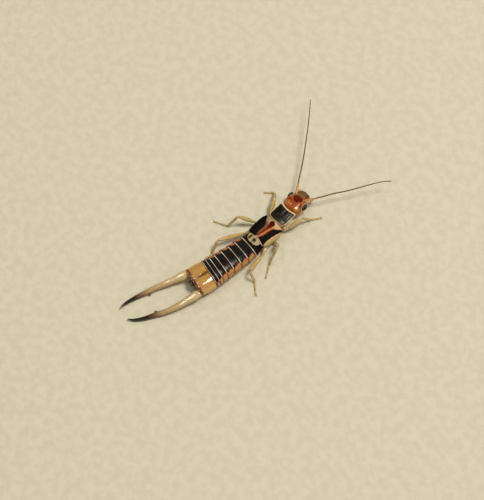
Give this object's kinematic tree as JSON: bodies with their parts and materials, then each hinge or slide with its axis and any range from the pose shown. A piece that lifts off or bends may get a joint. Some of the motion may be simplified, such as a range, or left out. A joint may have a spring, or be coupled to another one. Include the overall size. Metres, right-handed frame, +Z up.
{
  "type": "shore earwig",
  "caption": "Life-size male shore earwig, standing still with long toothed forceps laid on the floor.",
  "frame": {"origin": "middle of the model's bounding box, on the floor that its feet and forceps rest on", "axes": "+Z up, -Y towards the head and feelers, +Y towards the forceps, +X to the animal's left"},
  "size_m": [0.0174, 0.0406, 0.003],
  "materials": {
    "shell_black": "glossy black-brown cuticle",
    "shell_amber": "glossy amber cuticle, red-brown on the brow",
    "shell_gold": "very glossy golden cuticle",
    "forceps_horn": "glossy horn, cream at the root and near black at the tip",
    "lip_red": "glossy red-brown, slightly translucent",
    "leg_straw": "satin straw-coloured cuticle",
    "antenna_tan": "matt tan with fine down",
    "eye_black": "glossy black facets",
    "wing_cream": "satin cream membrane with brown spots",
    "membrane": "soft pale skin between the plates",
    "body_tan": "satin tan-orange cuticle"
  },
  "bodies": {
    "root": {"head": "shell_amber", "labrum": "lip_red", "mandible_left": "lip_red", "mandible_right": "lip_red", "eye_left": "eye_black", "eye_right": "eye_black", "labium": "leg_straw", "palp_left": "leg_straw", "palp_right": "leg_straw", "antenna_left_scape": "leg_straw", "antenna_right_scape": "leg_straw", "antenna_left_flagellum": "antenna_tan", "antenna_right_flagellum": "antenna_tan", "neck": "membrane", "pronotum": "shell_black", "tegmen_left": "shell_black", "tegmen_right": "shell_black", "prothorax": "body_tan", "pterothorax": "body_tan", "pygidium": "body_tan", "wing_tip_left": "wing_cream", "wing_tip_right": "wing_cream", "abdomen_01": "shell_black", "abdomen_02": "shell_black", "abdomen_03": "shell_black", "abdomen_04": "shell_black", "abdomen_05": "shell_black", "abdomen_06": "shell_black", "abdomen_07": "shell_black", "abdomen_08": "shell_black", "abdomen_09": "shell_black", "abdomen_10": "shell_gold", "forceps_left": "forceps_horn", "forceps_right": "forceps_horn", "leg_front_left_femur": "leg_straw", "leg_front_left_tibia": "leg_straw", "leg_front_left_tarsus": "leg_straw", "leg_front_right_femur": "leg_straw", "leg_front_right_tibia": "leg_straw", "leg_front_right_tarsus": "leg_straw", "leg_middle_left_femur": "leg_straw", "leg_middle_left_tibia": "leg_straw", "leg_middle_left_tarsus": "leg_straw", "leg_middle_right_femur": "leg_straw", "leg_middle_right_tibia": "leg_straw", "leg_middle_right_tarsus": "leg_straw", "leg_hind_left_femur": "leg_straw", "leg_hind_left_tibia": "leg_straw", "leg_hind_left_tarsus": "leg_straw", "leg_hind_right_femur": "leg_straw", "leg_hind_right_tibia": "leg_straw", "leg_hind_right_tarsus": "leg_straw"}
  },
  "joints": []
}
